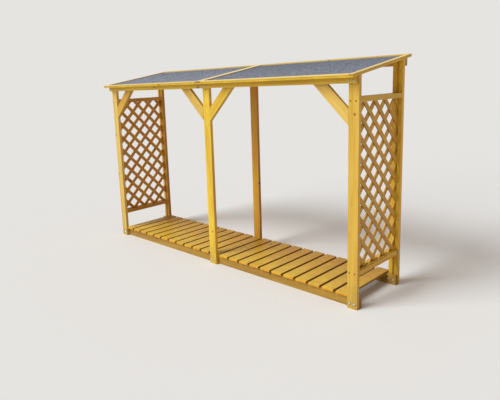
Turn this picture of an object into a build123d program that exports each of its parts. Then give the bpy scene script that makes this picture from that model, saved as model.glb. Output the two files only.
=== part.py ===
from build123d import *

import math
import os

os.makedirs("parts", exist_ok=True)

# Log store, an open lean-to frame of planed softwood, in millimetres.
# X runs along its length, Y from front to back, Z up.
# The origin is on the ground at the middle of the whole.

# Driving sizes of the whole frame
length = 2600.0
depth = 572.0
front_height = 1453.5
back_height = 1546.6

# Posts, with the groove that the two end pairs have for the lattice
post_width = 70.0
post_thickness = 28.0
groove_width = 14.6
groove_depth = 10.0
groove_inset = 32.6
edge_round = 2.5

# Floor: two rails on edge and the slats that lie across them
floor_rail_height = 70.0
floor_rail_thickness = 28.0
floor_rail_joint_gap = 1.0
slat_width = 90.0
slat_thickness = 16.0
slat_overhang = 20.0
slat_end_gap = 2.0
least_slat_gap = 17.0
slat_corner_round = 6.0
slat_edge_round = 4.5

# Top beams across the outer faces of the posts
beam_thickness = 28.0
beam_height = 46.0
beam_edge_round = 2.0

# Knee braces between the front posts and the front beams
brace_width = 70.0
brace_thickness = 28.0
brace_angle = 45.0
brace_reach = 249.5
brace_edge_round = 2.0
brace_top_gap = 6.0

# Side frames: a rail below and above each lattice
side_rail_thickness = 32.0
side_bottom_rail_level = 221.0
side_top_rail_drop = 156.5
side_rail_edge_round = 2.0

# Lattice of two crossed layers of thin slats, set in the grooves
lattice_slat_width = 30.0
lattice_slat_thickness = 7.0
lattice_pitch = 90.0
lattice_tongue = 8.0
lattice_angle = 45.0
right_hole_setback = -39.0
right_hole_drop = 71.0
left_hole_setback = -24.0
left_hole_drop = 98.0

# Roof: boards, felt and the strips that hold the felt down
roof_overhang = 80.0
roof_side_overhang = 5.0
roof_board_thickness = 11.5
roof_board_width = 93.0
roof_board_groove = 2.5
felt_thickness = 1.5
felt_inset = 8.0
strip_thickness = 7.0
strip_width = 30.0
cover_strip_width = 62.0
strip_edge_round = 1.5
panel_gap = 1.0

# Places worked out from the sizes
half_length = length / 2
half_depth = depth / 2
front_face = -half_depth
back_face = half_depth
front_post_back = front_face + post_thickness
back_post_front = back_face - post_thickness
groove_middle = half_length - groove_inset
side_inner_face = half_length - post_width

side_top_rail_level = min(front_height, back_height) - side_top_rail_drop

roof_rise = back_height - front_height
roof_pitch = math.degrees(math.atan2(roof_rise, depth))
roof_sine = math.sin(math.radians(roof_pitch))
roof_cosine = math.cos(math.radians(roof_pitch))
roof_build_up = roof_board_thickness + felt_thickness + strip_thickness
roof_front_edge = (-roof_overhang + roof_build_up * roof_sine) / roof_cosine
roof_rear_edge = (depth + roof_overhang) / roof_cosine
roof_slope_length = roof_rear_edge - roof_front_edge
roof_half_length = half_length + roof_side_overhang

front_beam_bottom = front_height - beam_height
back_beam_bottom = back_height - beam_height
slat_top = floor_rail_height + slat_thickness


def roof_height(y):
    """Height of the roof's underside above the ground at depth y."""
    return front_height + (y - front_face) * roof_rise / depth


def roof_plane(above):
    """Plane along the roof's slope, from the front posts' faces, raised by above."""
    base = Plane(
        origin=(0, front_face, front_height),
        x_dir=(1, 0, 0),
        z_dir=(0, -roof_sine, roof_cosine),
    )
    return base.offset(above)


def save(part, name):
    """Label a finished piece and write it to its own file."""
    part.label = name
    export_step(part, f"parts/{name}.step")


def side_name(side):
    return "left" if side < 0 else "right"


# Posts: upright boards whose tops are cut to the roof's pitch
def make_post(x_middle, y_front, groove_side):
    """One post. groove_side is the end it stands at, or 0 for a post with no groove."""
    y_back = y_front + post_thickness
    with BuildPart() as post:
        with BuildSketch(Plane.YZ.offset(x_middle - post_width / 2)):
            with BuildLine():
                Polyline(
                    (y_front, 0),
                    (y_back, 0),
                    (y_back, roof_height(y_back)),
                    (y_front, roof_height(y_front)),
                    close=True,
                )
            make_face()
        extrude(amount=post_width)
        fillet(post.edges().filter_by(Axis.Z), edge_round)
        if groove_side:
            grooved_face = y_back if y_front < 0 else y_front
            with BuildSketch(Plane.XY):
                with Locations((groove_side * groove_middle, grooved_face)):
                    Rectangle(groove_width, 2 * groove_depth)
            extrude(amount=2 * back_height, mode=Mode.SUBTRACT)
    return post.part


post_places = {"left": -1, "centre": 0, "right": 1}
for place, side in post_places.items():
    x_middle = side * (half_length - post_width / 2)
    save(make_post(x_middle, front_face, side), f"front_post_{place}")
    save(make_post(x_middle, back_post_front, side), f"back_post_{place}")


# Floor rails: boards on edge, on the inner faces of the posts, in two halves
def make_floor_rail(y_front):
    half_rail = half_length - floor_rail_joint_gap / 2
    with BuildPart() as rail:
        with BuildSketch(Plane.YZ.offset(-half_length)):
            with Locations((y_front, 0)):
                Rectangle(floor_rail_thickness, floor_rail_height, align=Align.MIN)
        extrude(amount=half_rail)
        fillet(rail.edges().filter_by(Axis.X), edge_round)
        mirror(about=Plane.YZ)
    return rail.part


rail_front_y = front_post_back
rail_back_y = back_post_front - floor_rail_thickness
save(make_floor_rail(rail_front_y), "floor_rail_front")
save(make_floor_rail(rail_back_y), "floor_rail_back")


# Floor slats: they run from front to back across both rails
def slat_middles():
    """Middles of the slats along the length, evenly spread between the end posts."""
    outermost = side_inner_face - slat_end_gap - slat_width / 2
    per_bay = math.floor(outermost / (slat_width + least_slat_gap))
    pitch = outermost / per_bay
    return [i * pitch for i in range(-per_bay, per_bay + 1)]


def make_slats(middles, front_end, back_end):
    """Slats with eased ends and top edges, as loose boards side by side."""
    places = [(x, (front_end + back_end) / 2) for x in middles]
    with BuildPart() as slats:
        with BuildSketch(Plane.XY.offset(floor_rail_height)):
            with Locations(*places):
                RectangleRounded(slat_width, back_end - front_end, slat_corner_round)
        extrude(amount=slat_thickness)
        top_edges = slats.faces().group_by(Axis.Z)[-1].edges()
        fillet(top_edges, slat_edge_round)
    return slats.part


slat_front_end = rail_front_y - slat_overhang
slat_back_end = rail_back_y + floor_rail_thickness + slat_overhang
behind_post = (post_width + slat_width) / 2
left_slats = [x for x in slat_middles() if x <= -behind_post]
right_slats = [x for x in slat_middles() if x >= behind_post]
centre_slats = [x for x in slat_middles() if abs(x) < behind_post]
save(make_slats(left_slats, slat_front_end, slat_back_end), "floor_slats_left")
save(make_slats(right_slats, slat_front_end, slat_back_end), "floor_slats_right")
save(make_slats(centre_slats, front_post_back, back_post_front), "floor_slat_centre")


# Top beams: their upper faces are planed to the roof's pitch
def make_beam(side, y_front, bottom):
    y_back = y_front + beam_thickness
    start = -half_length if side < 0 else 0
    with BuildPart() as beam:
        with BuildSketch(Plane.YZ.offset(start)):
            with BuildLine():
                Polyline(
                    (y_front, bottom),
                    (y_back, bottom),
                    (y_back, roof_height(y_back)),
                    (y_front, roof_height(y_front)),
                    close=True,
                )
            make_face()
        extrude(amount=half_length)
        lower_edges = beam.edges().filter_by(Axis.X).group_by(Axis.Z)[0]
        fillet(lower_edges, beam_edge_round)
    return beam.part


for side in (-1, 1):
    name = side_name(side)
    front_beam = make_beam(side, front_face - beam_thickness, front_beam_bottom)
    save(front_beam, f"front_beam_{name}")
    save(make_beam(side, back_face, back_beam_bottom), f"back_beam_{name}")


# Knee braces: slanted boards between a front post's side and the front beam
def make_brace(post_side_x, direction):
    """A brace that rises from post_side_x towards direction, which is 1 or -1."""
    slope = math.tan(math.radians(brace_angle))
    brace_top = front_height - brace_top_gap
    foot = front_beam_bottom - brace_reach * slope
    foot_height = brace_width / math.cos(math.radians(brace_angle))
    outer_top = (brace_top - foot) / slope
    inner_top = (brace_top - foot - foot_height) / slope
    with BuildPart() as brace:
        with BuildSketch(Plane.XZ.offset(-front_face)):
            with BuildLine():
                Polyline(
                    (post_side_x, foot),
                    (post_side_x + direction * outer_top, brace_top),
                    (post_side_x + direction * inner_top, brace_top),
                    (post_side_x, foot + foot_height),
                    close=True,
                )
            make_face()
        extrude(amount=-brace_thickness)
        long_edges = brace.edges().filter_by(
            Axis((0, 0, 0), (direction, 0, slope)), tolerance=1e-4
        )
        fillet(long_edges, brace_edge_round)
    return brace.part


save(make_brace(-side_inner_face, 1), "brace_left_end")
save(make_brace(-post_width / 2, -1), "brace_centre_left")
save(make_brace(post_width / 2, 1), "brace_centre_right")
save(make_brace(side_inner_face, -1), "brace_right_end")


# Side rails: boards laid flat between the end posts, grooved for the lattice
def make_side_rail(side, level, groove_up):
    x_middle = side * (half_length - post_width / 2)
    groove_level = level + side_rail_thickness if groove_up else level
    with BuildPart() as rail:
        with BuildSketch(Plane.XZ.offset(-front_post_back)):
            with Locations((x_middle, level + side_rail_thickness / 2)):
                Rectangle(post_width, side_rail_thickness)
        extrude(amount=front_post_back - back_post_front)
        fillet(rail.edges().filter_by(Axis.Y), side_rail_edge_round)
        with BuildSketch(Plane.XZ.offset(-front_post_back)):
            with Locations((side * groove_middle, groove_level)):
                Rectangle(groove_width, 2 * groove_depth)
        extrude(amount=front_post_back - back_post_front, mode=Mode.SUBTRACT)
    return rail.part


for side in (-1, 1):
    name = side_name(side)
    save(make_side_rail(side, side_bottom_rail_level, True), f"side_bottom_rail_{name}")
    save(make_side_rail(side, side_top_rail_level, False), f"side_top_rail_{name}")


# Lattices: two layers of slats that cross, set in the grooves all round
lattice_bottom = side_bottom_rail_level + side_rail_thickness - groove_depth
lattice_top = side_top_rail_level + lattice_tongue
lattice_half_depth = back_post_front + lattice_tongue


def make_lattice(side, hole):
    """Both layers of one end's lattice. hole is the (y, z) middle of an opening."""
    panel_height = lattice_top - lattice_bottom
    panel_middle = (lattice_top + lattice_bottom) / 2
    reach = math.hypot(2 * lattice_half_depth, panel_height)
    count = math.ceil(reach / lattice_pitch)
    layers = ((side * groove_middle, -side), (side * groove_middle - lattice_slat_thickness, side))
    with BuildPart() as lattice:
        for x_start, direction in layers:
            turn = math.radians(direction * lattice_angle)
            across_y = -math.sin(turn)
            across_z = math.cos(turn)
            hole_at = hole[0] * across_y + (hole[1] - panel_middle) * across_z
            nearest = hole_at - lattice_pitch * round(hole_at / lattice_pitch)
            corner = lattice_half_depth * abs(across_y) + panel_height / 2 * across_z
            with BuildSketch(Plane.YZ.offset(x_start)):
                for i in range(-count, count + 1):
                    distance = nearest + (i + 0.5) * lattice_pitch
                    if abs(distance) > corner - 1.5 * lattice_slat_width:
                        continue
                    with Locations((distance * across_y, panel_middle + distance * across_z)):
                        Rectangle(2 * reach, lattice_slat_width, rotation=math.degrees(turn))
                with Locations((0, panel_middle)):
                    Rectangle(2 * lattice_half_depth, panel_height, mode=Mode.INTERSECT)
            extrude(amount=lattice_slat_thickness)
    return lattice.part


left_hole = (left_hole_setback, side_top_rail_level - left_hole_drop)
right_hole = (right_hole_setback, side_top_rail_level - right_hole_drop)
save(make_lattice(-1, left_hole), "lattice_left")
save(make_lattice(1, right_hole), "lattice_right")


# Roof: two panels that meet over the centre posts, each under its own felt
half_roof = roof_half_length - panel_gap / 2
half_roof_middle = (roof_half_length + panel_gap / 2) / 2


def make_roof_boards(side):
    """Boards side by side, with a V groove in the underside at every joint."""
    boards = round(half_roof / roof_board_width)
    joint_pitch = half_roof / boards
    across_slope = Plane(
        origin=(side * half_roof_middle, front_face, front_height),
        x_dir=(1, 0, 0),
        z_dir=(0, roof_cosine, roof_sine),
    )
    with BuildPart() as panel:
        with BuildSketch(roof_plane(0)):
            with Locations((side * half_roof_middle, roof_front_edge)):
                Rectangle(half_roof, roof_slope_length, align=(Align.CENTER, Align.MIN))
        extrude(amount=roof_board_thickness)
        with BuildSketch(across_slope.offset(roof_front_edge)):
            with GridLocations(joint_pitch, 0, boards - 1, 1):
                Rectangle(roof_board_groove * 2**0.5, roof_board_groove * 2**0.5, rotation=45)
        extrude(amount=roof_slope_length, mode=Mode.SUBTRACT)
    return panel.part


def make_felt(side):
    """A sheet of felt on one panel, cut back from the outer edges under the strips."""
    with BuildPart() as felt:
        with BuildSketch(roof_plane(roof_board_thickness)):
            with Locations((side * (half_roof_middle - felt_inset / 2), roof_front_edge + felt_inset)):
                Rectangle(
                    half_roof - felt_inset,
                    roof_slope_length - 2 * felt_inset,
                    align=(Align.CENTER, Align.MIN),
                )
        extrude(amount=felt_thickness)
    return felt.part


strip_level = roof_board_thickness + felt_thickness
roof_normal = Axis((0, 0, 0), (0, -roof_sine, roof_cosine))


def make_strip(x_middle, width, slope_start, slope_size):
    """A strip laid on the felt, with its long upper edges eased."""
    with BuildPart() as strip:
        with BuildSketch(roof_plane(strip_level)):
            with Locations((x_middle, slope_start)):
                Rectangle(width, slope_size, align=(Align.CENTER, Align.MIN))
        extrude(amount=strip_thickness)
        fillet(strip.faces().sort_by(roof_normal)[-1].edges(), strip_edge_round)
    return strip.part


cross_strip_width = roof_half_length - strip_width - cover_strip_width / 2
cross_strip_middle = (roof_half_length - strip_width + cover_strip_width / 2) / 2
for side in (-1, 1):
    name = side_name(side)
    save(make_roof_boards(side), f"roof_board_{name}")
    save(make_felt(side), f"roof_felt_{name}")
    side_strip_middle = side * (roof_half_length - strip_width / 2)
    save(
        make_strip(side_strip_middle, strip_width, roof_front_edge, roof_slope_length),
        f"roof_strip_end_{name}",
    )
    middle = side * cross_strip_middle
    save(
        make_strip(middle, cross_strip_width, roof_front_edge, strip_width),
        f"roof_strip_front_{name}",
    )
    save(
        make_strip(middle, cross_strip_width, roof_rear_edge - strip_width, strip_width),
        f"roof_strip_rear_{name}",
    )
save(make_strip(0, cover_strip_width, roof_front_edge, roof_slope_length), "roof_strip_middle")
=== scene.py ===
import math

import bmesh
import bpy
import numpy as np
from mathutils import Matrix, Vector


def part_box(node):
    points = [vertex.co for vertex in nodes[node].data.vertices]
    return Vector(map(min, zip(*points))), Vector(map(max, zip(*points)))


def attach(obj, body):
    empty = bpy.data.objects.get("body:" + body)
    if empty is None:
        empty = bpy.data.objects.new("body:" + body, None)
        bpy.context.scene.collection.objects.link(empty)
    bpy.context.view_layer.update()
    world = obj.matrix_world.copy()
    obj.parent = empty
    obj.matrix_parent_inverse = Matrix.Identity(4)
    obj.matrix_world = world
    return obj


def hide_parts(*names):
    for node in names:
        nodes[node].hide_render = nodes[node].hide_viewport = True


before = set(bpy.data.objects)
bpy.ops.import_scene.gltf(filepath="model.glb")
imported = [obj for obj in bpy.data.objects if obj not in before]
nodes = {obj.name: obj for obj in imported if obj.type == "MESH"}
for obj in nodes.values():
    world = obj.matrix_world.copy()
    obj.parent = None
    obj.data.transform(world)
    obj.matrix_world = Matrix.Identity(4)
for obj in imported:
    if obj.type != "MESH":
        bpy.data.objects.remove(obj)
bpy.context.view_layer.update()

# Camera at the photograph's place: level with the roof's front edge, off the right front
# corner, looking down along the store. It was fitted to the posts' edges and feet.
photo_width = 500
photo_height = 400
focal_length = 497.24
axis_x = 213.73
axis_y = 176.14
stood_at = (2.8144, -2.9142, 1.4441)
heading = math.radians(-46.455)
dip = math.radians(-10.607)
lean = math.radians(2.506)
ahead = np.array([math.sin(heading) * math.cos(dip), math.cos(heading) * math.cos(dip), math.sin(dip)])
level_right = np.cross(ahead, [0, 0, 1])
level_right = level_right / np.linalg.norm(level_right)
level_down = np.cross(ahead, level_right)
right = math.cos(lean) * level_right + math.sin(lean) * level_down
up = math.sin(lean) * level_right - math.cos(lean) * level_down
lens = bpy.data.cameras.new("camera")
lens.sensor_width = 36
lens.lens = 36 * focal_length / photo_width
lens.shift_x = (photo_width / 2 - axis_x) / photo_width
lens.shift_y = (axis_y - photo_height / 2) / photo_width
lens.clip_end = 200
camera = bpy.data.objects.new("camera", lens)
placed = np.eye(4)
placed[:3, 0] = right
placed[:3, 1] = up
placed[:3, 2] = -ahead
placed[:3, 3] = stood_at
camera.matrix_world = placed.T.tolist()
bpy.context.scene.collection.objects.link(camera)
bpy.context.scene.camera = camera


# Posts: six upright boards of planed softwood, front ones and back ones, with a honey
# stain that lets the grain and the knots show. They carry the beams and the roof.
def paint(red, green, blue):
    """A colour read off as 0 to 255, turned into the linear numbers that shaders use."""
    shares = np.array([red, green, blue]) / 255
    linear = np.where(shares > 0.04045, ((shares + 0.055) / 1.055) ** 2.4, shares / 12.92)
    return (*linear.tolist(), 1)


def put(tree, kind, inputs=None, **settings):
    """Adds one node. settings are its properties; inputs are numbers, colours or sockets."""
    made = tree.nodes.new("ShaderNode" + kind)
    for name, value in settings.items():
        setattr(made, name, value)
    for name, value in (inputs or {}).items():
        if isinstance(value, bpy.types.NodeSocket):
            tree.links.new(value, made.inputs[name])
        else:
            made.inputs[name].default_value = value
    return made


def sum_up(tree, operation, *values):
    """One Math node on up to three values, and its result."""
    made = put(tree, "Math", operation=operation)
    for place, value in enumerate(values):
        if isinstance(value, bpy.types.NodeSocket):
            tree.links.new(value, made.inputs[place])
        else:
            made.inputs[place].default_value = value
    return made.outputs[0]


def combine(tree, operation, first, second=None, scale=None):
    """One Vector Math node and its result, a value for a dot product or a length."""
    made = put(tree, "VectorMath", operation=operation)
    for place, value in ((0, first), (1, second), ("Scale", scale)):
        if isinstance(value, bpy.types.NodeSocket):
            tree.links.new(value, made.inputs[place])
        elif value is not None:
            made.inputs[place].default_value = value
    return made.outputs["Value" if operation in ("DOT_PRODUCT", "LENGTH") else "Vector"]


def ramp(tree, value, start, end, low=0.0, high=1.0, shape="LINEAR"):
    """A value carried from the range start..end to the range low..high."""
    made = put(
        tree,
        "MapRange",
        {"Value": value, "From Min": start, "From Max": end, "To Min": low, "To Max": high},
        interpolation_type=shape,
    )
    return made.outputs["Result"]


def blend_colours(tree, share, first, second, kind="MIX"):
    """Two colours mixed by share, by the kind of mix that is named."""
    made = put(tree, "Mix", data_type="RGBA", blend_type=kind)
    for place, value in ((0, share), (6, first), (7, second)):
        if isinstance(value, bpy.types.NodeSocket):
            tree.links.new(value, made.inputs[place])
        else:
            made.inputs[place].default_value = value
    return made.outputs[2]


def speckle(tree, place, stretch, detail=2.0):
    """Noise from 0 to 1 at a place, stretched by one number for each axis."""
    stretched = combine(tree, "MULTIPLY", place, stretch)
    return put(tree, "TexNoise", {"Vector": stretched, "Scale": 1.0, "Detail": detail}).outputs["Fac"]


def bare_material(name):
    """A material with an empty node tree."""
    material = bpy.data.materials.new(name)
    material.use_nodes = True
    material.node_tree.nodes.clear()
    return material


def end_in_surface(tree, inputs):
    """Ends a material's node tree in one shader with these inputs."""
    surface = put(tree, "BsdfPrincipled", inputs)
    tree.links.new(surface.outputs["BSDF"], put(tree, "OutputMaterial").inputs["Surface"])


def coat(piece, material):
    """Puts a material on a piece in place of what it had."""
    piece.data.materials.clear()
    piece.data.materials.append(material)


def make_grain_group():
    """Softwood grain. Board runs along, across and through the board from its middle, in metres.

    Year rings are equal steps of the distance from a pith that lies behind the board and
    wanders along it, so wide faces get flames and ends get arcs. Each knot pushes the rings
    aside. Knots are cells of a stretched Voronoi, with their distances turned back into
    metres, so that they are round but a fifth longer along the grain. Own knot is the place
    of one more.
    Half sizes, across and through, tell where the long edges are, which are worn paler; where
    the share for this is high, as on roof strips and laths, the paling also paints highlights.
    Drying checks are where a long thin noise crosses its middle, in a few places only.
    """
    group = bpy.data.node_groups.new("softwood grain", "ShaderNodeTree")
    for name, kind in (
        ("Board", "Vector"),
        ("Half sizes", "Vector"),
        ("Along", "Vector"),
        ("Seed", "Float"),
        ("Pale", "Color"),
        ("Ring", "Color"),
        ("Knot", "Color"),
        ("Ring spacing", "Float"),
        ("Knots", "Float"),
        ("Own knot", "Vector"),
        ("Rubbing", "Float"),
        ("End tone", "Float"),
    ):
        group.interface.new_socket(name, in_out="INPUT", socket_type="NodeSocket" + kind)
    for name, kind in (("Colour", "Color"), ("Height", "Float"), ("Roughness", "Float")):
        group.interface.new_socket(name, in_out="OUTPUT", socket_type="NodeSocket" + kind)
    given = group.nodes.new("NodeGroupInput").outputs
    result = group.nodes.new("NodeGroupOutput").inputs

    away = combine(group, "SCALE", (7.3, 3.1, 1.7), scale=given["Seed"])
    board = combine(group, "ADD", given["Board"], away)
    chance = put(group, "TexWhiteNoise", {"W": given["Seed"]}, noise_dimensions="1D")
    chances = put(group, "SeparateColor", {"Color": chance.outputs["Color"]}).outputs

    cells_along = 2.4
    cells_across = 10.0
    longer_along = 2.9
    smallest_knot = 0.003
    largest_knot = 0.010
    own_knot_radius = 0.006
    far_off = 50.0
    cells = combine(group, "MULTIPLY", board, (cells_along, cells_across, 0.0))
    knot = put(group, "TexVoronoi", {"Vector": cells, "Scale": 1.0}, voronoi_dimensions="3D")
    offset = combine(group, "SUBTRACT", cells, knot.outputs["Position"])
    reach = combine(group, "MULTIPLY", offset, (1 / longer_along, 1 / cells_across, 0.0))
    distance = combine(group, "LENGTH", reach)
    draw = put(group, "SeparateColor", {"Color": knot.outputs["Color"]}).outputs
    missing = sum_up(group, "GREATER_THAN", draw["Green"], given["Knots"])
    radius = ramp(group, draw["Red"], 0, 1, smallest_knot, largest_knot)
    nearness = sum_up(group, "DIVIDE", distance, radius)
    nearness = sum_up(group, "MULTIPLY_ADD", missing, far_off, nearness)
    from_own = combine(group, "SUBTRACT", given["Board"], given["Own knot"])
    from_own = combine(group, "LENGTH", combine(group, "MULTIPLY", from_own, (1.0, 1.0, 0.0)))
    own_nearness = sum_up(group, "DIVIDE", from_own, own_knot_radius)
    nearness = sum_up(group, "MINIMUM", nearness, own_nearness)
    ragged = ramp(group, speckle(group, board, (90, 90, 90)), 0, 1, -0.3, 0.3)
    nearness = sum_up(group, "ADD", nearness, ragged)
    knot_core = ramp(group, nearness, 1.0, 0.75, shape="SMOOTHSTEP")
    knot_bark = ramp(group, nearness, 1.25, 0.95, shape="SMOOTHSTEP")
    knot_halo = ramp(group, nearness, 2.6, 1.0, shape="SMOOTHSTEP")

    measures = put(group, "SeparateXYZ", {"Vector": given["Board"]}).outputs
    sideways = ramp(group, chances["Red"], 0, 1, -0.045, 0.045)
    behind = ramp(group, chances["Green"], 0, 1, 0.03, 0.085)
    slowly = combine(group, "MULTIPLY", board, (1.1, 2.0, 2.0))
    wander = put(group, "TexNoise", {"Vector": slowly, "Scale": 1.0, "Detail": 1.0}).outputs["Color"]
    wander = put(group, "SeparateColor", {"Color": wander}).outputs
    from_side = sum_up(group, "ADD", measures["Y"], sideways)
    from_side = sum_up(group, "ADD", from_side, ramp(group, wander["Red"], 0, 1, -0.04, 0.04))
    from_back = sum_up(group, "ADD", measures["Z"], behind)
    from_back = sum_up(group, "ADD", from_back, ramp(group, wander["Green"], 0, 1, -0.03, 0.03))
    from_pith = put(group, "CombineXYZ", {"X": from_side, "Y": from_back}).outputs["Vector"]
    pushed_aside = 0.009
    waviness = 0.0022
    push = ramp(group, nearness, 4.5, 0.0, 0.0, pushed_aside, "SMOOTHSTEP")
    depth = sum_up(group, "ADD", combine(group, "LENGTH", from_pith), push)
    depth = sum_up(group, "MULTIPLY_ADD", speckle(group, board, (6, 45, 45)), waviness, depth)
    year = sum_up(group, "DIVIDE", depth, given["Ring spacing"])
    uneven = put(group, "TexNoise", {"W": year, "Scale": 0.45, "Detail": 1.0}, noise_dimensions="1D")
    turn = sum_up(group, "FRACT", sum_up(group, "MULTIPLY_ADD", uneven.outputs["Fac"], 2.4, year))
    latewood = sum_up(group, "POWER", turn, 2.0)
    latewood = sum_up(group, "MULTIPLY", latewood, ramp(group, turn, 1.0, 0.86, shape="SMOOTHSTEP"))

    fibre = speckle(group, board, (12.0, 560.0, 560.0), 3.0)
    streak = speckle(group, board, (2.2, 75.0, 75.0))
    cloud = speckle(group, board, (1.5, 11.0, 11.0))

    facing = combine(group, "DOT_PRODUCT", put(group, "NewGeometry").outputs["Normal"], given["Along"])
    end_grain = ramp(group, sum_up(group, "ABSOLUTE", facing), 0.75, 0.93)

    inside = combine(group, "SUBTRACT", given["Half sizes"], combine(group, "ABSOLUTE", given["Board"]))
    inside = put(group, "SeparateXYZ", {"Vector": inside}).outputs
    to_edge = sum_up(group, "MAXIMUM", inside["Y"], inside["Z"])
    to_edge = sum_up(group, "MULTIPLY_ADD", speckle(group, board, (9, 60, 60)), 0.003, to_edge)
    rubbed_from = 0.0048
    rubbed_fully = 0.0018
    rubbed_and_lit = ramp(group, to_edge, rubbed_from, rubbed_fully, shape="SMOOTHSTEP")

    darkness = sum_up(group, "MULTIPLY_ADD", latewood, 0.6, ramp(group, fibre, 0.3, 0.7, -0.05, 0.15))
    darkness = sum_up(group, "ADD", darkness, ramp(group, cloud, 0.3, 0.7, -0.2, 0.26))
    darkness = sum_up(group, "ADD", darkness, ramp(group, streak, 0.3, 0.7, -0.08, 0.3))
    wood = blend_colours(group, ramp(group, darkness, 0.0, 1.0), given["Pale"], given["Ring"])
    wood = blend_colours(group, sum_up(group, "MULTIPLY", knot_halo, 0.5), wood, given["Ring"])
    wood = blend_colours(group, knot_bark, wood, given["Knot"])
    core = blend_colours(group, 0.45, given["Knot"], given["Ring"])
    wood = blend_colours(group, knot_core, wood, core)
    # Paler long edges: wear, and a painted highlight where the share is high.
    rub = blend_colours(group, 0.35, given["Pale"], (0.95, 0.82, 0.5, 1))
    wood = blend_colours(group, sum_up(group, "MULTIPLY", rubbed_and_lit, given["Rubbing"]), wood, rub)
    tone = ramp(group, chances["Blue"], 0, 1, 0.93, 1.05)
    tone = sum_up(group, "MULTIPLY", tone, ramp(group, end_grain, 0, 1, 1.0, given["End tone"]))
    even = put(group, "CombineXYZ", {"X": tone, "Y": tone, "Z": tone}).outputs["Vector"]
    wood = blend_colours(group, 1.0, wood, even, "MULTIPLY")

    off_middle = sum_up(group, "SUBTRACT", speckle(group, board, (2.6, 130, 130), 1.0), 0.5)
    thin = ramp(group, sum_up(group, "ABSOLUTE", off_middle), 0.009, 0.003, shape="SMOOTHSTEP")
    open_here = ramp(group, speckle(group, board, (3.1, 17, 17)), 0.63, 0.68)
    check = sum_up(group, "MULTIPLY", thin, open_here)
    wood = blend_colours(group, sum_up(group, "MULTIPLY", check, 0.6), wood, given["Knot"])

    relief = sum_up(group, "MULTIPLY_ADD", latewood, 0.45, sum_up(group, "MULTIPLY", fibre, 0.6))
    relief = sum_up(group, "MULTIPLY_ADD", knot_bark, -0.4, relief)
    relief = sum_up(group, "MULTIPLY_ADD", check, -1.2, relief)
    group.links.new(wood, result["Colour"])
    group.links.new(relief, result["Height"])
    rough = ramp(group, relief, 0.0, 1.0, 0.4, 0.58)
    rough = sum_up(group, "MULTIPLY_ADD", end_grain, 0.2, rough)
    group.links.new(rough, result["Roughness"])
    return group


def make_weather_and_light_group():
    """Weather and painted light, by the way a face looks and its height over the ground.

    Faces that look up are paled by a share towards a paler colour: partly weathering, and
    partly painted light where light falls on them. Faces that look down are multiplied by a
    colour that is painted shade. Faces that look along the store are multiplied by a colour
    that paints the warm light in the shade as a redder tint, and paints shade where boards
    lie close. Near the ground the colour is darkened with a cloudy upper border, and
    speckled with soil that the rain splashed up.
    """
    group = bpy.data.node_groups.new("weather", "ShaderNodeTree")
    for name, kind in (
        ("Colour", "Color"),
        ("Place", "Vector"),
        ("Sky", "Float"),
        ("Bleached", "Color"),
        ("Under", "Color"),
        ("Sides", "Color"),
        ("Soil", "Color"),
    ):
        group.interface.new_socket(name, in_out="INPUT", socket_type="NodeSocket" + kind)
    group.interface.new_socket("Colour", in_out="OUTPUT", socket_type="NodeSocketColor")
    given = group.nodes.new("NodeGroupInput").outputs
    result = group.nodes.new("NodeGroupOutput").inputs
    normal = put(group, "NewGeometry").outputs["Normal"]
    facing = put(group, "SeparateXYZ", {"Vector": normal}).outputs
    facing_up = ramp(group, facing["Z"], 0.5, 0.9)
    facing_down = ramp(group, facing["Z"], -0.3, -0.65)
    facing_sideways = ramp(group, sum_up(group, "ABSOLUTE", facing["X"]), 0.6, 0.9)
    patchy = ramp(group, speckle(group, given["Place"], (9, 9, 9)), 0.3, 0.7, 0.8, 1.15)
    # Upward faces paled, partly weathering and partly painted light; downward and sideways faces get
    # painted shade and light.
    bleaching = sum_up(group, "MULTIPLY", sum_up(group, "MULTIPLY", facing_up, patchy), given["Sky"])
    colour = blend_colours(group, bleaching, given["Colour"], given["Bleached"])
    colour = blend_colours(group, facing_down, colour, given["Under"], "MULTIPLY")
    colour = blend_colours(group, facing_sideways, colour, given["Sides"], "MULTIPLY")
    # Darker towards the ground, with a cloudy upper border.
    darkened_up_to = 0.24
    splashed_up_to = 0.1
    height = put(group, "SeparateXYZ", {"Vector": given["Place"]}).outputs["Z"]
    border = ramp(group, speckle(group, given["Place"], (14, 14, 14)), 0.3, 0.7, -0.05, 0.05)
    low_darkening = ramp(group, sum_up(group, "ADD", height, border), darkened_up_to, 0.0, 0.0, 0.25, "SMOOTHSTEP")
    colour = blend_colours(group, low_darkening, colour, given["Soil"])
    drops = ramp(group, speckle(group, given["Place"], (330, 330, 330), 3.0), 0.62, 0.72)
    low_down = ramp(group, height, splashed_up_to, 0.0, 0.0, 0.5, "SMOOTHSTEP")
    drops = sum_up(group, "MULTIPLY", drops, low_down)
    group.links.new(blend_colours(group, drops, colour, given["Soil"]), result["Colour"])
    return group


grain = make_grain_group()
weather = make_weather_and_light_group()
soil = paint(104, 78, 50)
bleached = paint(250, 234, 180)
to_right = (1, 0, 0)
to_back = (0, 1, 0)
upwards = (0, 0, 1)
honey = {"Pale": paint(224, 192, 62), "Ring": paint(188, 139, 36), "Knot": paint(120, 64, 18)}
fair = {"Pale": paint(224, 195, 112), "Ring": paint(192, 149, 70), "Knot": paint(120, 64, 18)}
soaked = {"Pale": paint(200, 150, 50), "Ring": paint(160, 104, 26), "Knot": paint(92, 48, 16)}


def stained(share, first=honey, second=soaked):
    """A stain between two, colour by colour. A share below 0 goes beyond the first one."""
    pairs = {name: (np.array(first[name]), np.array(second[name])) for name in first}
    return {name: tuple((a + share * (b - a)).tolist()) for name, (a, b) in pairs.items()}


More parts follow.
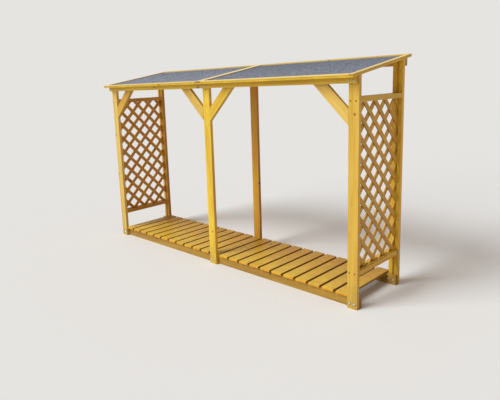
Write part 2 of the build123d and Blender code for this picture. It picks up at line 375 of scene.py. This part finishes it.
def finish_wood(
    material,
    board,
    along,
    halves,
    seed,
    stain,
    knots,
    ring_spacing,
    end_tone=0.66,
    sky=(0.0, 0.0),
    sky_reach=0.34,
    bleach=bleached,
    rubbing=0.45,
    own_knot=(9.0, 9.0, 9.0),
    under=(0.88, 0.84, 0.8, 1),
    sides=(1.07, 0.95, 0.9, 1),
):
    """The grain group and the shader of a stained board. board and along may be sockets.

    sky tells how far the faces that look up are paled, at the front edge and the rear,
    sky_reach how far back the share still changes, and the next argument to which colour;
    this paling is partly weathering and partly painted light. under is the painted shade on
    faces that look down, and the argument after it the painted light and shade on faces that
    look along the store; both are multipliers.
    own_knot lies far off the board unless one is wanted.
    """
    front_edge = -0.34
    tree = material.node_tree
    wood = put(
        tree,
        "Group",
        {
            "Board": board,
            "Half sizes": (1.0, *halves),
            "Along": along,
            "Seed": seed,
            "Ring spacing": ring_spacing,
            "Knots": knots,
            "Own knot": own_knot,
            "Rubbing": rubbing,
            "End tone": end_tone,
            **stain,
        },
        node_tree=grain,
    ).outputs
    bump = put(tree, "Bump", {"Height": wood["Height"], "Strength": 0.3, "Distance": 0.0005})
    place = put(tree, "TexCoord").outputs["Object"]
    depth = put(tree, "SeparateXYZ", {"Vector": place}).outputs["Y"]
    aged_and_lit = {
        "Colour": wood["Colour"],
        "Place": place,
        "Sky": ramp(tree, depth, front_edge, sky_reach, *sky),
        "Bleached": bleach,
        "Under": under,
        "Sides": sides,
        "Soil": soil,
    }
    end_in_surface(
        tree,
        {
            "Base Color": put(tree, "Group", aged_and_lit, node_tree=weather).outputs["Colour"],
            "Roughness": wood["Roughness"],
            "Normal": bump.outputs["Normal"],
            "Specular IOR Level": 0.25,
            "Coat Weight": 0.07,
            "Coat Roughness": 0.3,
        },
    )


def pick_board(tree, across, pitch, seed):
    """For boards side by side: a seed of its own for each, and the place across it.

    The board's number is the whole part of the distance over the pitch, and the rest, less
    a half, is the place across it in pitches.
    """
    steps = sum_up(tree, "DIVIDE", across, pitch)
    own_seed = sum_up(tree, "MULTIPLY_ADD", sum_up(tree, "FLOOR", steps), 0.37, seed)
    in_board = sum_up(tree, "SUBTRACT", sum_up(tree, "FRACT", steps), 0.5)
    return own_seed, sum_up(tree, "MULTIPLY", in_board, pitch)


def dress_board(name, axes, seed, middle=None, halves=None, row=None, knot=None, **looks):
    """Gives a CAD board its stained finish. axes are unit vectors along, across and through.

    middle and halves are the board's middle and its half sizes across and through, which
    come from its box unless they are given. row is for boards side by side in one piece,
    across their width: the place where the first one starts, and the pitch. Each then has
    a seed of its own. knot is a point of the board where one knot has to be.
    """
    low, high = (np.array(corner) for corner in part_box(name))
    if middle is None:
        middle = (low + high) / 2
    if halves is None:
        halves = [float(np.abs((high - low) / 2 @ np.array(axis))) for axis in axes[1:]]
    material = bare_material(name)
    tree = material.node_tree
    place = put(tree, "TexCoord").outputs["Object"]
    place = combine(tree, "SUBTRACT", place, tuple(map(float, middle)))
    measures = [combine(tree, "DOT_PRODUCT", place, axis) for axis in axes]
    if row:
        start = float(np.array(middle) @ np.array(axes[1])) - row[0]
        from_start = sum_up(tree, "ADD", measures[1], start)
        seed, measures[1] = pick_board(tree, from_start, row[1], seed)
    board = put(tree, "CombineXYZ", dict(zip("XYZ", measures))).outputs["Vector"]
    if knot:
        looks["own_knot"] = tuple(float((np.array(knot) - middle) @ np.array(axis)) for axis in axes)
    looks = {"stain": honey, "knots": 0.4, "ring_spacing": 0.0036, **looks}
    finish_wood(material, board, axes[0], halves, seed, **looks)
    coat(nodes[name], material)


# One row for each pair of posts: how fair the front one's wood is, how much stain it took
# up, its own knot, how deep the back one's stain is, which paints the shade under the roof,
# and the colour its side faces are multiplied by, which paints light and shade on them.
for number, (end, fairness, share, knot, back_shade_share, back_sides) in enumerate(
    (
        ("left", 0.8, -0.1, None, 0.8, (0.87, 0.64, 0.42, 1)),
        ("centre", 0.0, -0.06, (0.0104, -0.286, 0.274), 0.8, (0.87, 0.64, 0.42, 1)),
        ("right", 0.3, 0.26, (1.2718, -0.286, 1.2269), 0.25, (1.25, 1.0, 0.85, 1)),
    )
):
    axes = (upwards, to_right, to_back)
    stain = stained(share, stained(fairness, honey, fair))
    dress_board(f"front_post_{end}", axes, 1.3 + 2.1 * number, knot=knot, stain=stain)
    stain = stained(back_shade_share)
    dress_board(f"back_post_{end}", axes, 9.4 + 2.3 * number, stain=stain, sides=back_sides)

# Floor rails: boards on edge along the front and the back, on the inner faces of the
# posts, in two halves that meet at the centre posts. They lift the slats off the ground.
# The floor rails have a darker stain than the posts.
darker_rail_stain = {"Pale": paint(190, 150, 56), "Ring": paint(146, 102, 30), "Knot": paint(88, 50, 18)}
for seed, name in ((11.9, "floor_rail_front"), (13.2, "floor_rail_back")):
    dress_board(name, (to_right, upwards, to_back), seed, stain=darker_rail_stain)

# Floor slats: boards from front to back across the rails, with a finger's gap between
# them, rounded ends and one short board between the centre posts. Their tops are painted
# lighter and paler towards the front as painted light, while the rear keeps its amber stain
# as painted shade under the roof. Their front ends are brightened as a painted highlight,
# and the faces in the gaps are darkened as painted shade.
amber = {"Pale": paint(209, 160, 30), "Ring": paint(179, 118, 14), "Knot": paint(110, 56, 14)}
slat_width = 0.09
slat_thickness = 0.016
bay_width = 1.183
slat_pitch = bay_width / 11
for seed, name in ((21.4, "floor_slats_left"), (26.4, "floor_slats_right"), (30.4, "floor_slat_centre")):
    dress_board(
        name,
        (to_back, to_right, upwards),
        seed,
        halves=(slat_width / 2, slat_thickness / 2),
        row=(-slat_pitch / 2, slat_pitch),
        stain=amber,
        # The brighter front ends are a painted highlight, the paler fronts painted light, and the darker
        # faces in the gaps painted shade.
        end_tone=1.35,
        sky=(0.9, 0.0),
        sky_reach=0.2,
        bleach=paint(255, 215, 72),
        sides=(0.52, 0.43, 0.3, 1),
    )

# Beams across the outer faces of the posts, under the roof, in two halves each, with
# their upper faces planed to the roof's pitch.
for number, name in enumerate(
    ("front_beam_left", "front_beam_right", "back_beam_left", "back_beam_right")
):
    dress_board(name, (to_right, upwards, to_back), 31.3 + 1.9 * number)

# Knee braces: four slanted boards that stiffen the front, each from a post up to the
# beam, with their grain along the slant. Their middle line starts half a sawn end above
# the foot.
brace_width = 0.07
brace_thickness = 0.028
slant = math.sqrt(0.5)
rising = (slant, 0, slant)
falling = (slant, 0, -slant)
for name, seed, along, across, foot_on_right, fairness, share in (
    ("brace_left_end", 41.1, rising, falling, False, 0.4, 0.65),
    ("brace_centre_right", 43.6, rising, falling, False, 0.0, 0.1),
    ("brace_centre_left", 45.2, falling, rising, True, 0.6, 0.1),
    ("brace_right_end", 47.7, falling, rising, True, 0.7, 0.1),
):
    low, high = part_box(name)
    foot_x = high[0] if foot_on_right else low[0]
    foot_middle = (foot_x, (low[1] + high[1]) / 2, low[2] + brace_width * slant)
    halves = (brace_width / 2, brace_thickness / 2)
    stain = stained(share, stained(fairness, honey, fair))
    dress_board(name, (along, across, to_back), seed, middle=foot_middle, halves=halves, stain=stain)

# Side rails: boards laid flat between the end posts, grooved to hold the lattice. Those on
# the left have a darker stain.
for number, (name, share) in enumerate(
    (
        ("side_bottom_rail_left", 0.9),
        ("side_bottom_rail_right", 0.15),
        ("side_top_rail_left", 1.0),
        ("side_top_rail_right", 0.15),
    )
):
    dress_board(name, (to_back, to_right, upwards), 51.5 + 1.3 * number, stain=stained(share))

# Lattices: thin laths in two crossed layers, held in the grooves of posts and rails. The
# laths have a deeper stain than the boards, deepest on the left panel, which partly paints
# the shade they stand in; their downward faces are darker still as painted shade, and their
# edges are paled as painted highlights. Both panels are the same way round: on each, the
# laths on the right face fall towards the back.
lath_pitch = 0.09
lath_width = 0.03
lath_thickness = 0.007
layers_meet = 1.2674
left_opening = (-0.024, 1.199)
right_opening = (-0.039, 1.226)


def turn_round(name, new_name):
    """Stands for a CAD lattice: the same laths with the two layers changed over.

    Each point's x is mirrored at the plane where the layers meet, and each triangle's
    corners are taken in the reverse order, so that it still faces outwards.
    """
    plain = nodes[name].data
    corners = np.empty(3 * len(plain.vertices))
    plain.vertices.foreach_get("co", corners)
    corners = corners.reshape(-1, 3)
    corners[:, 0] = 2 * math.copysign(layers_meet, corners[0, 0]) - corners[:, 0]
    triangles = np.empty(len(plain.loops), int)
    plain.loops.foreach_get("vertex_index", triangles)
    triangles = triangles.reshape(-1, 3)[:, ::-1]
    mesh = bpy.data.meshes.new(new_name)
    mesh.from_pydata(corners.tolist(), [], triangles.tolist())
    shape = bmesh.new()
    shape.from_mesh(mesh)
    bmesh.ops.remove_doubles(shape, verts=shape.verts, dist=1e-6)
    shape.to_mesh(mesh)
    shape.free()
    panel = bpy.data.objects.new(new_name, mesh)
    bpy.context.scene.collection.objects.link(panel)
    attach(panel, "root")
    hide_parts(name)
    return panel


left_panel = turn_round("lattice_left", "lattice_left_panel")
for panel, seed, opening, turned, share in (
    (left_panel, 61.8, left_opening, -1, 0.95),
    (nodes["lattice_right"], 66.3, right_opening, 1, 0.65),
):
    material = bare_material(panel.name)
    tree = material.node_tree
    place = combine(tree, "SUBTRACT", put(tree, "TexCoord").outputs["Object"], (0, *opening))
    climbing = combine(tree, "DOT_PRODUCT", place, (0, slant, slant))
    dropping = combine(tree, "DOT_PRODUCT", place, (0, slant, -slant))
    through = sum_up(tree, "ABSOLUTE", put(tree, "SeparateXYZ", {"Vector": place}).outputs["X"])
    through = sum_up(tree, "MULTIPLY", sum_up(tree, "SUBTRACT", through, layers_meet), turned)
    outer = sum_up(tree, "GREATER_THAN", through, 0.0)
    boards = []
    seeds = []
    for along, across, shift, layer in (
        (climbing, dropping, 0.0, lath_thickness / 2),
        (dropping, climbing, 50.5, -lath_thickness / 2),
    ):
        own_seed, in_lath = pick_board(tree, across, lath_pitch, seed + shift)
        seeds.append(own_seed)
        depth = sum_up(tree, "ADD", through, layer)
        boards.append(put(tree, "CombineXYZ", {"X": along, "Y": in_lath, "Z": depth}).outputs["Vector"])
    chosen = blend_colours(tree, outer, *boards)
    direction = blend_colours(tree, outer, (0, slant, slant, 1), (0, slant, -slant, 1))
    drawn = sum_up(tree, "MULTIPLY", outer, sum_up(tree, "SUBTRACT", seeds[1], seeds[0]))
    drawn = sum_up(tree, "ADD", drawn, seeds[0])
    finish_wood(
        material,
        chosen,
        direction,
        (lath_width / 2, lath_thickness / 2),
        drawn,
        stained(share),
        knots=0.15,
        ring_spacing=0.0026,
        rubbing=0.6,
        # Downward faces darker as painted shade; paler edges partly painted highlights.
        under=(0.5, 0.4, 0.33, 1),
    )
    coat(panel, material)

# Roof boards: laid from front to back with a V groove at each joint underneath. Only
# their edges and undersides show, so they have no rubbed edges.
roof_rise = 0.0931
roof_run = 0.572
roof_slope = math.atan2(roof_rise, roof_run)
up_slope = (0, math.cos(roof_slope), math.sin(roof_slope))
off_roof = (0, -math.sin(roof_slope), math.cos(roof_slope))
panel_start = 0.0005
panel_end = 1.305
roof_board_pitch = (panel_end - panel_start) / 14
unrubbed = (0.2, 0.2)
for seed, name, start in (
    (71.5, "roof_board_left", -panel_start),
    (76.8, "roof_board_right", panel_start),
):
    dress_board(
        name,
        (up_slope, to_right, off_roof),
        seed,
        halves=unrubbed,
        row=(start, roof_board_pitch),
        stain=stained(0.2),
        end_tone=1.0,
    )

# Felt on the roof: blue grey mineral granules bedded in bitumen, a few of them pale, with
# faint cloudy patches, and short trails where rain drew granules down the slope.
granules_per_metre = 430.0
for name, lighter in (("roof_felt_left", 0.85), ("roof_felt_right", 0.72)):
    material = bare_material(name)
    tree = material.node_tree
    place = put(tree, "TexCoord").outputs["Object"]
    granule = put(tree, "TexVoronoi", {"Vector": place, "Scale": granules_per_metre, "Randomness": 1.0})
    draw = put(tree, "SeparateColor", {"Color": granule.outputs["Color"]}).outputs
    patches = speckle(tree, place, (26, 26, 26), 3.0)
    drift = speckle(tree, place, (115, 30, 115), 2.0)
    brightness = sum_up(tree, "MULTIPLY_ADD", ramp(tree, patches, 0.3, 0.7), 0.16, draw["Red"])
    brightness = sum_up(tree, "MULTIPLY_ADD", ramp(tree, drift, 0.3, 0.7), 0.9, brightness)
    brightness = ramp(tree, brightness, 0.3, 1.75)
    shade = blend_colours(tree, brightness, paint(50, 55, 70), paint(178, 189, 211))
    pale_one = sum_up(tree, "GREATER_THAN", draw["Green"], 0.93)
    shade = blend_colours(tree, sum_up(tree, "MULTIPLY", pale_one, 0.6), shade, paint(206, 208, 212))
    depth = put(tree, "SeparateXYZ", {"Vector": place}).outputs["Y"]
    washed = ramp(tree, depth, -0.3, 0.35, 1.04 * lighter, 0.82 * lighter, "SMOOTHSTEP")
    washed = put(tree, "CombineXYZ", {"X": washed, "Y": washed, "Z": washed}).outputs["Vector"]
    shade = blend_colours(tree, 1.0, shade, washed, "MULTIPLY")
    height = sum_up(tree, "SUBTRACT", draw["Blue"], granule.outputs["Distance"])
    bump = put(tree, "Bump", {"Height": height, "Strength": 0.5, "Distance": 0.0008})
    end_in_surface(
        tree,
        {
            "Base Color": shade,
            "Roughness": 0.88,
            "Normal": bump.outputs["Normal"],
            "Specular IOR Level": 0.3,
        },
    )
    coat(nodes[name], material)

# Roof strips: flat boards that hold the felt down round its edges and over the joint.
# Their tops are paled, most near the front, partly by weathering and partly as a painted
# highlight; their long edges are paled more, also partly as a painted highlight.
strip_halves = (0.015, 0.0035)
cover_halves = (0.031, 0.0035)
for number, (name, halves, share, end_tone) in enumerate(
    (
        ("roof_strip_end_left", strip_halves, 0.6, 0.66),
        ("roof_strip_end_right", strip_halves, 0.6, 0.66),
        ("roof_strip_middle", cover_halves, 0.9, 0.12),
    )
):
    dress_board(
        name,
        (up_slope, to_right, off_roof),
        81.5 + 1.3 * number,
        halves=halves,
        sky=(share, 0.9 * share),
        rubbing=0.6,
        end_tone=end_tone,
    )
for number, name in enumerate(
    ("roof_strip_front_left", "roof_strip_front_right", "roof_strip_rear_left", "roof_strip_rear_right")
):
    axes = (to_right, up_slope, off_roof)
    dress_board(name, axes, 91.5 + 1.3 * number, halves=strip_halves, sky=(0.75, 0.0), rubbing=0.6)


# Screws: round headed zinc plated ones with a cross recess at the posts' feet, where
# posts and floor rails are screwed together, two at each foot.
def close_and_dress(name, points, quads, finish):
    """A new piece of fixings from grids of points: poles are merged, faces turned outwards."""
    mesh = bpy.data.meshes.new(name)
    mesh.from_pydata(points.reshape(-1, 3).tolist(), [], quads.reshape(-1, 4).tolist())
    shape = bmesh.new()
    shape.from_mesh(mesh)
    bmesh.ops.remove_doubles(shape, verts=shape.verts, dist=1e-7)
    bmesh.ops.recalc_face_normals(shape, faces=shape.faces)
    shape.to_mesh(mesh)
    shape.free()
    mesh.shade_smooth()
    mesh.materials.append(finish)
    piece = bpy.data.objects.new(name, mesh)
    bpy.context.scene.collection.objects.link(piece)
    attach(piece, "root")


def make_screw_heads(name, places, outward, radius, crown, finish, fine=True):
    """Screw heads at the places, which lie on the wood's face, looking outward.

    On a head, the height at a share of the radius is the crown times the square root of one
    less the cube of that share. A fine one has a cross recess that fades out at 0.6 of the
    radius. The rim then drops just under the face and closes in a flat bottom.
    """
    sunk = 0.0003
    arm_half_width = 0.17
    arm_fade = 0.06
    recess_end = 0.6
    recess_fade = 0.12
    recess_depth = 0.9
    places = np.array(places, float)
    outward = np.array(outward, float)
    helper = np.array([0.0, 0.0, 1.0]) if abs(outward[2]) < 0.9 else np.array([0.0, 1.0, 0.0])
    first = np.cross(helper, outward)
    first = first / np.linalg.norm(first)
    second = np.cross(outward, first)
    shares = np.array([0.0, 0.4, 0.8, 1.0])
    count = 12
    if fine:
        shares = np.array([0.0, 0.1, 0.22, 0.36, 0.5, 0.62, 0.78, 0.9, 0.97, 1.0])
        count = 32
    angles = np.arange(count) * 2 * math.pi / count
    share, angle = np.meshgrid(shares, angles, indexing="ij")
    height = crown * np.sqrt(np.clip(1 - share**3, 0, 1))
    if fine:
        arm = np.minimum(np.abs(np.cos(angle)), np.abs(np.sin(angle))) * share
        inside = np.clip((arm_half_width - arm) / arm_fade, 0, 1)
        inside = inside * np.clip((recess_end - share) / recess_fade, 0, 1)
        height = height - recess_depth * crown * inside
    share = np.vstack([share, share[-1:], share[:1]])
    angle = np.vstack([angle, angle[-1:], angle[:1]])
    height = np.vstack([height, np.full((2, count), -sunk)])
    turns = np.random.default_rng(7).uniform(0, math.pi, len(places))[:, None, None]
    across = radius * share * np.cos(angle + turns)
    along = radius * share * np.sin(angle + turns)
    points = (
        places[:, None, None, :]
        + across[..., None] * first
        + along[..., None] * second
        + (height + 0 * across)[..., None] * outward
    )
    rings = len(share)
    corner = np.arange(len(places) * rings * count).reshape(len(places), rings, count)
    ahead_one = np.roll(corner, -1, axis=2)
    quads = np.stack([corner[:, :-1], corner[:, 1:], ahead_one[:, 1:], ahead_one[:, :-1]], axis=-1)
    close_and_dress(name, points, quads, finish)


def mottled(name, bright, dull, rough, metallic=1.0):
    """A finish of two tones in soft clouds, with a fine grit in its roughness."""
    material = bare_material(name)
    tree = material.node_tree
    place = put(tree, "TexCoord").outputs["Object"]
    clouds = ramp(tree, speckle(tree, place, (320, 320, 320)), 0.3, 0.7)
    grit = speckle(tree, place, (2600, 2600, 900), 1.0)
    end_in_surface(
        tree,
        {
            "Base Color": blend_colours(tree, clouds, bright, dull),
            "Metallic": metallic,
            "Roughness": ramp(tree, grit, 0.2, 0.8, rough - 0.06, rough + 0.1),
        },
    )
    return material


zinc = mottled("bright zinc", paint(226, 226, 224), paint(176, 178, 180), 0.24)
post_middles = np.array([-1.265, 0.0, 1.265])
front_face = -0.286
rail_face = 0.230
foot_height = 0.034
foot_radius = 0.0075
foot_crown = 0.0042
foot_screws = [(x + dx, front_face, foot_height) for x in post_middles for dx in (-0.019, 0.015)]
make_screw_heads("foot_screws", foot_screws, (0, -1, 0), foot_radius, foot_crown, zinc)
rail_screws = [(x + dx, rail_face, foot_height) for x in post_middles for dx in (-0.022, 0.0125)]
make_screw_heads("floor_rail_screws", rail_screws, (0, -1, 0), foot_radius, foot_crown, zinc)

# Screw shade rings: flat dark discs round the heads, which paint the shade round each head.
ring_shade = mottled("crushed wood", paint(74, 46, 20), paint(40, 24, 12), 0.7, metallic=0.0)
shade_ring_height = 0.0002
foot_shade_ring_radius = 0.0098


def make_shade_rings(name, places, outward, radius):
    """Flat dark discs, which show as rings of painted shade round the screw heads."""
    make_screw_heads(
        name, places, outward, radius, shade_ring_height, ring_shade, fine=False
    )


make_shade_rings("foot_screw_seats", foot_screws, (0, -1, 0), foot_shade_ring_radius)
make_shade_rings("floor_rail_screw_seats", rail_screws, (0, -1, 0), foot_shade_ring_radius)

# Beam screws: flatter zinc plated heads, two at each end post and four over the centre
# post, where the two halves meet. The back beam has the same ones.
beam_front = -0.314
beam_screw_height = 1.423
back_beam_higher = 0.093
beam_screw_radius = 0.0054
beam_screw_crown = 0.0022
beam_shade_ring_radius = 0.0068
beam_screw_x = [-1.2775, -1.243, -0.056, -0.0165, 0.024, 0.051, 1.243, 1.2775]
front_ones = [(x, beam_front, beam_screw_height) for x in beam_screw_x]
back_ones = [(x, -beam_front, beam_screw_height + back_beam_higher) for x in beam_screw_x]
make_screw_heads("front_beam_screws", front_ones, (0, -1, 0), beam_screw_radius, beam_screw_crown, zinc)
make_screw_heads("back_beam_screws", back_ones, (0, 1, 0), beam_screw_radius, beam_screw_crown, zinc)
make_shade_rings("front_beam_screw_seats", front_ones, (0, -1, 0), beam_shade_ring_radius)
make_shade_rings("back_beam_screw_seats", back_ones, (0, 1, 0), beam_shade_ring_radius)

# Side rail screws: small countersunk ones through the end posts into the rails, and one of
# the same kind in the centre post, close under the beam. Their dark colour is painted shade
# of the holes they are sunk in.
sunk_screw_shade = mottled("dark bronze", paint(64, 48, 36), paint(34, 26, 20), 0.5)
end_screw_x = (1.243, 1.280)
rail_heights = (0.236, 1.305)
flat_crown = 0.0009
for place, face, way in (("front", front_face, -1), ("back", -front_face, 1)):
    spots = [(side * x, face, z) for side in (-1, 1) for x in end_screw_x for z in rail_heights]
    make_screw_heads(f"side_rail_screws_{place}", spots, (0, way, 0), 0.0045, flat_crown, sunk_screw_shade)
under_beam = [(0.002, front_face, 1.395)]
make_screw_heads("beam_post_screw", under_beam, (0, -1, 0), 0.0048, flat_crown, sunk_screw_shade)

# Slat screws: small yellow zinc countersunk heads, sunk level with the wood. Every slat
# has two over each rail, and the short one between the centre posts has one.
yellow = mottled("yellow zinc", paint(196, 152, 70), paint(150, 108, 44), 0.45)
slat_top = 0.086
rail_middle = 0.244
off_slat_middle = 0.028
slat_spots = [
    (number * slat_pitch + dx, y, slat_top)
    for number in range(-11, 12)
    for dx in (-off_slat_middle, off_slat_middle)
    for y in (-rail_middle, rail_middle)
]
slat_spots = [spot for spot in slat_spots if abs(spot[0]) > slat_width / 2]
slat_spots = slat_spots + [(0.0, -rail_middle, slat_top), (0.0, rail_middle, slat_top)]
make_screw_heads("slat_screws", slat_spots, (0, 0, 1), 0.0035, 0.0003, yellow, fine=False)

# Staples: zinc plated wire, one at each crossing of the laths, driven from the inside
# with its crown half sunk in the inner lath.
crown_half = 0.0045
wire = 0.0006
inner_face = 1.2604
seen_depth = 0.245
seen_bottom = 0.262
seen_top = 1.288


def make_staples(name, side, opening):
    """One staple per crossing, at steps of the lath pitch from the middle of an opening.

    Each is a thin closed capsule: its radius over its length, from -1 to 1, is the wire's
    radius times the root of one less the eighth power of the length's share.
    """
    count = 18
    steps = (np.arange(-count, count) + 0.5) * lath_pitch
    u, v = (grid.ravel() for grid in np.meshgrid(steps, steps))
    y = opening[0] + (v - u) * slant
    z = opening[1] + (v + u) * slant
    seen_ones = (np.abs(y) < seen_depth) & (z > seen_bottom) & (z < seen_top)
    x = np.full(seen_ones.sum(), side * inner_face)
    centres = np.stack([x, y[seen_ones], z[seen_ones]], axis=1)
    share, angle = np.meshgrid(np.linspace(-1, 1, 7), np.arange(8) * math.pi / 4, indexing="ij")
    thick = wire * np.sqrt(np.clip(1 - share**8, 0, 1))
    capsule = np.stack([thick * np.cos(angle), thick * np.sin(angle), crown_half * share], axis=-1)
    points = centres[:, None, None, :] + capsule
    corner = np.arange(points.size // 3).reshape(points.shape[:3])
    beside = np.roll(corner, -1, axis=2)
    quads = np.stack([corner[:, :-1], corner[:, 1:], beside[:, 1:], beside[:, :-1]], axis=-1)
    close_and_dress(name, points, quads, zinc)


make_staples("lattice_staples_left", -1, left_opening)
make_staples("lattice_staples_right", 1, right_opening)

# Roof strip nails: small flat heads of yellow zinc, about 180 mm apart along every strip.
# They are driven through the felt into the boards.
strip_top = 0.020
roof_height_at_posts = 1.4535
front_edge_down_slope = -0.0776
rear_edge_up_slope = 0.6606
from_edge = 0.015
from_end = 0.02


def on_roof(x, up, above):
    """A point at x, up the slope from the front posts' faces and above the underside."""
    base = np.array([x, front_face, roof_height_at_posts])
    return base + up * np.array(up_slope) + above * np.array(off_roof)


across_spots = [
    on_roof(side * x, up, strip_top)
    for side in (-1, 1)
    for x in np.linspace(0.12, 1.22, 7)
    for up in (front_edge_down_slope + from_edge, rear_edge_up_slope - from_edge)
]
slope_spots = [
    on_roof(x, up, strip_top)
    for x in (-1.29, 1.29, -0.018, 0.018)
    for up in np.linspace(front_edge_down_slope + from_end, rear_edge_up_slope - from_end, 5)
]
make_screw_heads("strip_nails", across_spots + slope_spots, off_roof, 0.003, 0.0004, yellow, fine=False)

# Floor and light: a pale floor, a wide soft lamp from the front left, a weak one low in
# front, and an even world that is a little warm in the shade. Where the camera looks past
# the floor, it sees the floor's own lit colour, so that no horizon shows.
floor_mesh = bpy.data.meshes.new("floor")
far = 30
floor_corners = [(-far, -far, 0), (far, -far, 0), (far, far, 0), (-far, far, 0)]
floor_mesh.from_pydata(floor_corners, [], [(0, 1, 2, 3)])
floor = bpy.data.objects.new("floor", floor_mesh)
bpy.context.scene.collection.objects.link(floor)
floor_paint = bpy.data.materials.new("floor")
floor_paint.use_nodes = True
floor_surface = floor_paint.node_tree.nodes["Principled BSDF"].inputs
floor_colour = np.array([0.88, 0.91, 0.94])
floor_surface["Base Color"].default_value = (*floor_colour.tolist(), 1)
floor_surface["Roughness"].default_value = 1.0
floor_surface["Specular IOR Level"].default_value = 0.0
floor_mesh.materials.append(floor_paint)

world_light = 0.34 * np.array([1.05, 0.88, 0.76])
light_on_floor = world_light
for name, energy, tint, width, from_top, from_left in (
    ("main lamp", 2.15, (0.97, 1.0, 0.99), 30, 46, 24),
    ("low lamp", 0.7, (1.0, 1.0, 0.97), 24, 70, 12),
):
    lamp = bpy.data.lights.new(name, "SUN")
    lamp.energy = energy
    lamp.color = tint
    lamp.angle = math.radians(width)
    hung = bpy.data.objects.new(name, lamp)
    hung.rotation_euler = (math.radians(from_top), 0, math.radians(-from_left))
    bpy.context.scene.collection.objects.link(hung)
    share = energy * math.cos(math.radians(from_top)) / math.pi
    light_on_floor = light_on_floor + share * np.array(tint)

world = bpy.data.worlds.new("studio")
bpy.context.scene.world = world
world.use_nodes = True
air = world.node_tree
air.nodes.clear()
sky = put(air, "Background", {"Color": (*world_light.tolist(), 1), "Strength": 1.0})
backdrop = floor_colour * light_on_floor
seen = put(air, "Background", {"Color": (*backdrop.tolist(), 1), "Strength": 1.0})
path = put(air, "LightPath").outputs
looked_at = sum_up(air, "MAXIMUM", path["Is Camera Ray"], path["Is Glossy Ray"])
looked_at = sum_up(air, "MAXIMUM", looked_at, path["Is Transmission Ray"])
shown = put(air, "MixShader", {"Fac": looked_at})
air.links.new(sky.outputs[0], shown.inputs[1])
air.links.new(seen.outputs[0], shown.inputs[2])
air.links.new(shown.outputs[0], put(air, "OutputWorld").inputs["Surface"])

bpy.context.scene.view_settings.view_transform = "Standard"
